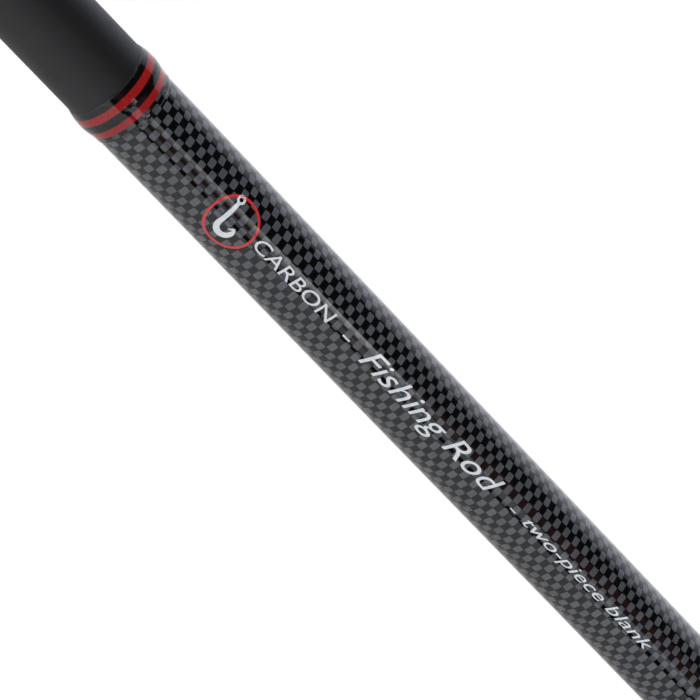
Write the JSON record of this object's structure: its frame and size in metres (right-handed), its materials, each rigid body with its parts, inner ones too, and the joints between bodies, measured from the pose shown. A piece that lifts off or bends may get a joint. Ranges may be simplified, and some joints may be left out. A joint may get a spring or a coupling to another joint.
{
  "type": "spinning rod",
  "caption": "Two-piece carbon spinning rod with split handle, screw reel seat, ringed guides and a slip joint.",
  "frame": {"origin": "middle of the butt cap's flat end", "axes": "+X along the rod from the butt to the tip, -Z the side that the reel and the guides hang from"},
  "size_m": [2.6987, 0.0333, 0.068],
  "materials": {
    "blank_carbon": "matte black lacquer behind the trim wrap, clear-coated checker carbon weave ahead of it",
    "tip_carbon": "clear-coated plain carbon, fine lines along it",
    "eva_foam": "fine-celled matte foam",
    "seat_plastic": "satin moulded black",
    "hood_metal": "smoked satin steel",
    "trim_metal": "red anodised, satin",
    "dark_metal": "grey anodised, satin",
    "cap_rubber": "matte",
    "arbor_plastic": "matte",
    "liner": "matte",
    "black_thread": "nylon thread under epoxy",
    "red_thread": "nylon thread under epoxy",
    "epoxy": "clear, glossy",
    "guide_wrap": "black thread under clear epoxy",
    "guide_frame": "black chrome",
    "ring_ceramic": "polished grey oxide",
    "cushion": "black"
  },
  "bodies": {
    "butt_section": {"butt_cap": "cap_rubber", "rear_grip": "eva_foam", "rear_trim_ring": "trim_metal", "reel_seat_body": "seat_plastic", "seat_arbors": "arbor_plastic", "fixed_hood": "hood_metal", "fixed_hood_liner": "liner", "front_trim_ring": "trim_metal", "foregrip": "eva_foam", "foregrip_check": "dark_metal", "butt_blank": "blank_carbon", "trim_wrap_black_thread": "black_thread", "trim_wrap_red_bands": "red_thread", "trim_wrap_coat": "epoxy", "guide_1_frame": "guide_frame", "guide_1_ring": "ring_ceramic", "guide_1_cushion": "cushion", "guide_1_wraps": "guide_wrap"},
    "tip_section": {"tip_blank": "tip_carbon", "ferrule_wrap": "guide_wrap", "ferrule_ring": "trim_metal", "tip_top_frame": "guide_frame", "tip_top_ring": "ring_ceramic", "tip_top_cushion": "cushion", "tip_top_wrap": "guide_wrap", "guide_2_frame": "guide_frame", "guide_2_ring": "ring_ceramic", "guide_2_cushion": "cushion", "guide_2_wraps": "guide_wrap", "guide_3_frame": "guide_frame", "guide_3_ring": "ring_ceramic", "guide_3_cushion": "cushion", "guide_3_wraps": "guide_wrap", "guide_4_frame": "guide_frame", "guide_4_ring": "ring_ceramic", "guide_4_cushion": "cushion", "guide_4_wraps": "guide_wrap", "guide_5_frame": "guide_frame", "guide_5_ring": "ring_ceramic", "guide_5_cushion": "cushion", "guide_5_wraps": "guide_wrap", "guide_6_frame": "guide_frame", "guide_6_ring": "ring_ceramic", "guide_6_cushion": "cushion", "guide_6_wraps": "guide_wrap", "guide_7_frame": "guide_frame", "guide_7_ring": "ring_ceramic", "guide_7_cushion": "cushion", "guide_7_wraps": "guide_wrap"},
    "sliding_hood": {"sliding_hood": "hood_metal", "sliding_hood_liner": "liner"},
    "lock_nut": {"lock_nut": "seat_plastic", "nut_band": "trim_metal"}
  },
  "joints": [
    {"name": "hood_slide", "type": "slide", "parent": "butt_section", "child": "sliding_hood", "axis": [1, 0, 0], "range_m": [0, 0.03]},
    {"name": "nut_spin", "type": "hinge", "parent": "sliding_hood", "child": "lock_nut", "pos_m": [0.328, 0, 0], "axis": [1, 0, 0], "range_deg": [0, 4320]},
    {"name": "tip_slide", "type": "slide", "parent": "butt_section", "child": "tip_section", "axis": [1, 0, 0], "range_m": [0, 0.1]}
  ],
  "couplings": [
    {"joint": "nut_spin", "follows": "hood_slide", "rad_per_m": 2513.3}
  ]
}
